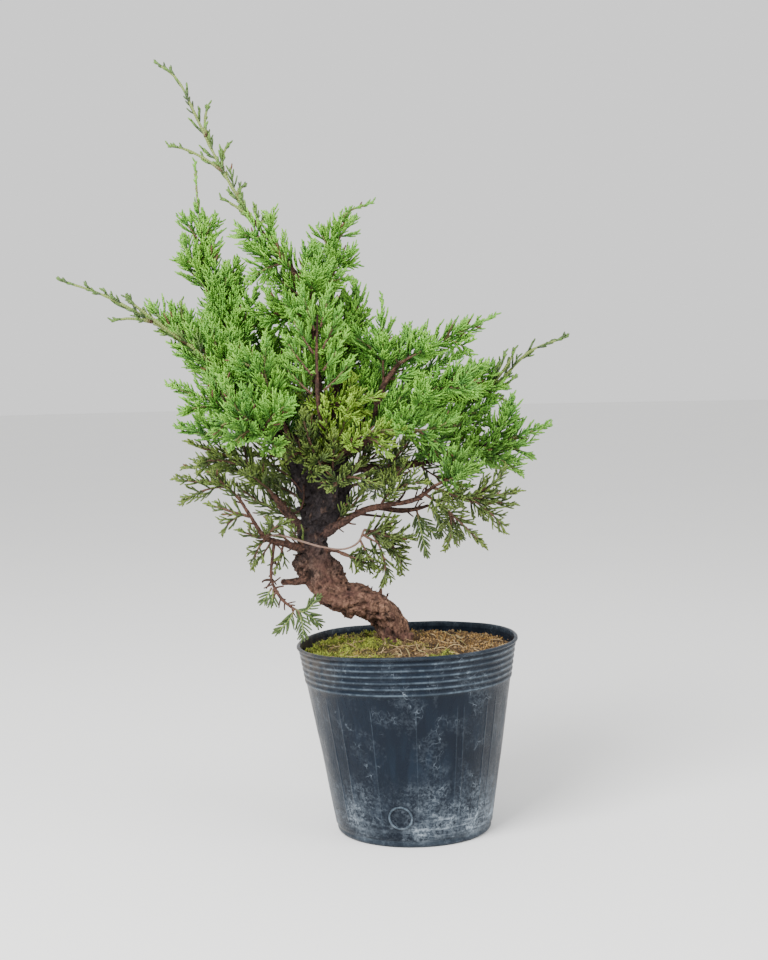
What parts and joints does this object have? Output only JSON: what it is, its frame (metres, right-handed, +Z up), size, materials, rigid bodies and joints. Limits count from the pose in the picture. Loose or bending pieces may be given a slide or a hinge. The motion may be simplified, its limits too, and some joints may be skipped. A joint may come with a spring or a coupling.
{
  "type": "potted juniper bonsai",
  "caption": "Young juniper trained as a bonsai, with a leaning gnarled trunk and open sprays of fine cord-like foliage, standing in soil in a round soft plastic nursery pot.",
  "frame": {"origin": "middle of the pot's flat underside, on the surface that it stands on", "axes": "+Z up, +X to the right and -Y towards the viewer of the tree's front"},
  "size_m": [0.3401, 0.1802, 0.5199],
  "materials": {
    "pot": "satin",
    "soil": "matte",
    "bark": "matte",
    "foliage_mid": "satin",
    "foliage_deep": "satin",
    "foliage_bright": "satin",
    "foliage_olive": "satin",
    "foliage_hanging": "satin"
  },
  "bodies": {
    "root": {"pot": "pot", "soil": "soil", "wood": "bark", "spray_leader_shoot": "foliage_olive", "spray_leader_left": "foliage_mid", "spray_leader_right": "foliage_mid", "spray_leader_mid": "foliage_mid", "spray_leader_back": "foliage_mid", "spray_front_stem_left": "foliage_mid", "spray_front_stem_right": "foliage_mid", "spray_bright_right": "foliage_bright", "spray_centre_left": "foliage_mid", "spray_centre_back": "foliage_mid", "spray_centre_low": "foliage_deep", "spray_crown_tip": "foliage_mid", "spray_crown_front": "foliage_mid", "spray_crown_right": "foliage_mid", "spray_column_tip": "foliage_mid", "spray_left_shoot": "foliage_olive", "spray_left_up": "foliage_mid", "spray_left_mid": "foliage_mid", "spray_left_mid_low": "foliage_mid", "spray_front_left_tip": "foliage_mid", "spray_fork_up": "foliage_mid", "spray_low_left_tip": "foliage_deep", "spray_bottom_left_tip": "foliage_mid", "spray_bottom_left_mid": "foliage_mid", "spray_bottom_left_tuft": "foliage_mid", "spray_hanging": "foliage_hanging", "spray_lower_right_tuft": "foliage_deep", "spray_trunk_tuft": "foliage_deep", "spray_right_low_tip": "foliage_mid", "spray_right_low_out": "foliage_mid", "spray_right_low_tuft": "foliage_deep", "spray_right_low_under": "foliage_deep", "spray_hang_inner": "foliage_hanging", "spray_hang_outer": "foliage_hanging", "spray_right_tip": "foliage_mid", "spray_right_mid_front": "foliage_deep", "spray_right_up": "foliage_mid", "spray_far_right_shoot": "foliage_olive", "spray_far_right_in": "foliage_mid", "spray_front_right_tip": "foliage_mid", "spray_front_right_low": "foliage_mid", "spray_upper_right_shoot": "foliage_mid", "spray_upper_right_in": "foliage_mid", "spray_bright_front_tip": "foliage_bright", "spray_trunk_front_tip": "foliage_deep", "spray_trunk_front_left_tip": "foliage_deep", "spray_back_left_tip": "foliage_mid", "spray_back_right_tip": "foliage_mid", "spray_back_right_up": "foliage_mid", "spray_back_left_up": "foliage_mid", "spray_back_up_tip": "foliage_mid", "spray_back_up_out": "foliage_mid", "spray_back_low_left_tip": "foliage_deep", "spray_back_low_right_tip": "foliage_deep", "spray_back_centre_tip": "foliage_mid", "spray_back_centre_low": "foliage_deep"}
  },
  "joints": []
}
